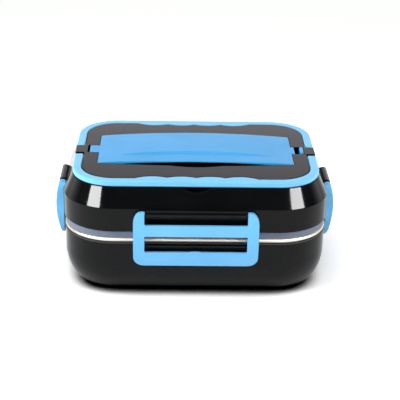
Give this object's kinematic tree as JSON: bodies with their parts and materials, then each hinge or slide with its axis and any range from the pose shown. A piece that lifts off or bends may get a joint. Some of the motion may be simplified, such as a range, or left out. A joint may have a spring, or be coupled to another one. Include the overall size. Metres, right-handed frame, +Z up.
{
  "type": "electric lunch box",
  "caption": "Electric heated lunch box: black shell and lid, blue clip-down latches, folding handles, arched cutlery cover, steel tray and heater.",
  "frame": {"origin": "centre of the ground face under the rubber feet", "axes": "+X to the right along the long side, seen from the front; +Y to the rear; +Z up"},
  "size_m": [0.2342, 0.176, 0.1035],
  "materials": {
    "black_shell": "glossy moulded",
    "black_plain": "fine grain",
    "liner_plastic": "satin moulded",
    "latch_blue": "glossy moulded",
    "handle_blue": "glossy moulded",
    "cover_blue": "satin moulded",
    "seal_silicone": "smooth silicone",
    "tray_steel": "polished rolled rim",
    "plate_aluminium": "plain",
    "clamp_steel": "plain",
    "thermostat_can": "plain",
    "fuse_body": "plain",
    "wire_red": "sleeved",
    "wire_blue": "sleeved",
    "contact_metal": "plated",
    "lens_red": "clear tinted",
    "lamp_glass": "clear",
    "foot_rubber": "matt"
  },
  "bodies": {
    "base": {"base_shell": "black_shell", "inner_liner": "liner_plastic", "heater_plate": "plate_aluminium", "element_left": "plate_aluminium", "element_right": "plate_aluminium", "element_clamp": "clamp_steel", "thermostat": "thermostat_can", "thermal_fuse": "fuse_body", "live_wire": "wire_red", "link_wire": "wire_red", "element_leads": "wire_red", "neutral_leads": "wire_blue", "power_inlet": "black_plain", "inlet_contacts": "contact_metal", "indicator_lens": "lens_red", "indicator_lamp": "lamp_glass", "base_plate": "black_plain", "base_screws": "clamp_steel", "foot_front_left": "foot_rubber", "foot_front_right": "foot_rubber", "foot_rear_left": "foot_rubber", "foot_rear_right": "foot_rubber"},
    "tray": {"food_tray": "tray_steel"},
    "lid": {"lid_shell": "black_shell", "lid_liner": "liner_plastic", "lid_seal": "seal_silicone", "vent_plug": "seal_silicone", "spoon": "tray_steel", "fork": "tray_steel", "front_latch_pin": "clamp_steel", "right_latch_pin": "clamp_steel", "rear_latch_pin": "clamp_steel", "left_latch_pin": "clamp_steel", "front_handle_pins": "clamp_steel", "rear_handle_pins": "clamp_steel"},
    "front_latch": {"front_latch": "latch_blue"},
    "right_latch": {"right_latch": "latch_blue"},
    "rear_latch": {"rear_latch": "latch_blue"},
    "left_latch": {"left_latch": "latch_blue"},
    "front_handle": {"front_handle": "handle_blue"},
    "rear_handle": {"rear_handle": "handle_blue"},
    "cover": {"cutlery_cover": "cover_blue"},
    "clip": {"cover_clip": "cover_blue"}
  },
  "joints": [
    {"name": "lid_lift", "type": "slide", "parent": "base", "child": "lid", "axis": [0, 0, 1], "range_m": [0, 0.16]},
    {"name": "tray_lift", "type": "slide", "parent": "base", "child": "tray", "axis": [0, 0, 1], "range_m": [0, 0.08]},
    {"name": "front_latch_swing", "type": "hinge", "parent": "lid", "child": "front_latch", "pos_m": [0, -0.0826, 0.0766], "axis": [-1, 0, 0], "range_deg": [0, 110]},
    {"name": "right_latch_swing", "type": "hinge", "parent": "lid", "child": "right_latch", "pos_m": [0.1117, 0, 0.0766], "axis": [0, -1, 0], "range_deg": [0, 110]},
    {"name": "rear_latch_swing", "type": "hinge", "parent": "lid", "child": "rear_latch", "pos_m": [0, 0.0826, 0.0766], "axis": [1, 0, 0], "range_deg": [0, 110]},
    {"name": "left_latch_swing", "type": "hinge", "parent": "lid", "child": "left_latch", "pos_m": [-0.1117, 0, 0.0766], "axis": [0, 1, 0], "range_deg": [0, 110]},
    {"name": "front_handle_fold", "type": "hinge", "parent": "lid", "child": "front_handle", "pos_m": [0, -0.013, 0.0978], "axis": [1, 0, 0], "range_deg": [-99, 0]},
    {"name": "rear_handle_fold", "type": "hinge", "parent": "lid", "child": "rear_handle", "pos_m": [0, 0.013, 0.0978], "axis": [-1, 0, 0], "range_deg": [-99, 0]},
    {"name": "cover_open", "type": "hinge", "parent": "lid", "child": "cover", "pos_m": [-0.0865, 0, 0.099], "axis": [0, -1, 0], "range_deg": [0, 85]},
    {"name": "clip_press", "type": "hinge", "parent": "cover", "child": "clip", "pos_m": [0.09045, 0, 0.0912], "axis": [0, -1, 0], "range_deg": [0, 9], "stiffness_Nm_per_rad": 0.3}
  ],
  "couplings": [
    {"joint": "tray_lift", "follows": "lid_lift", "ratio": 0.5}
  ]
}
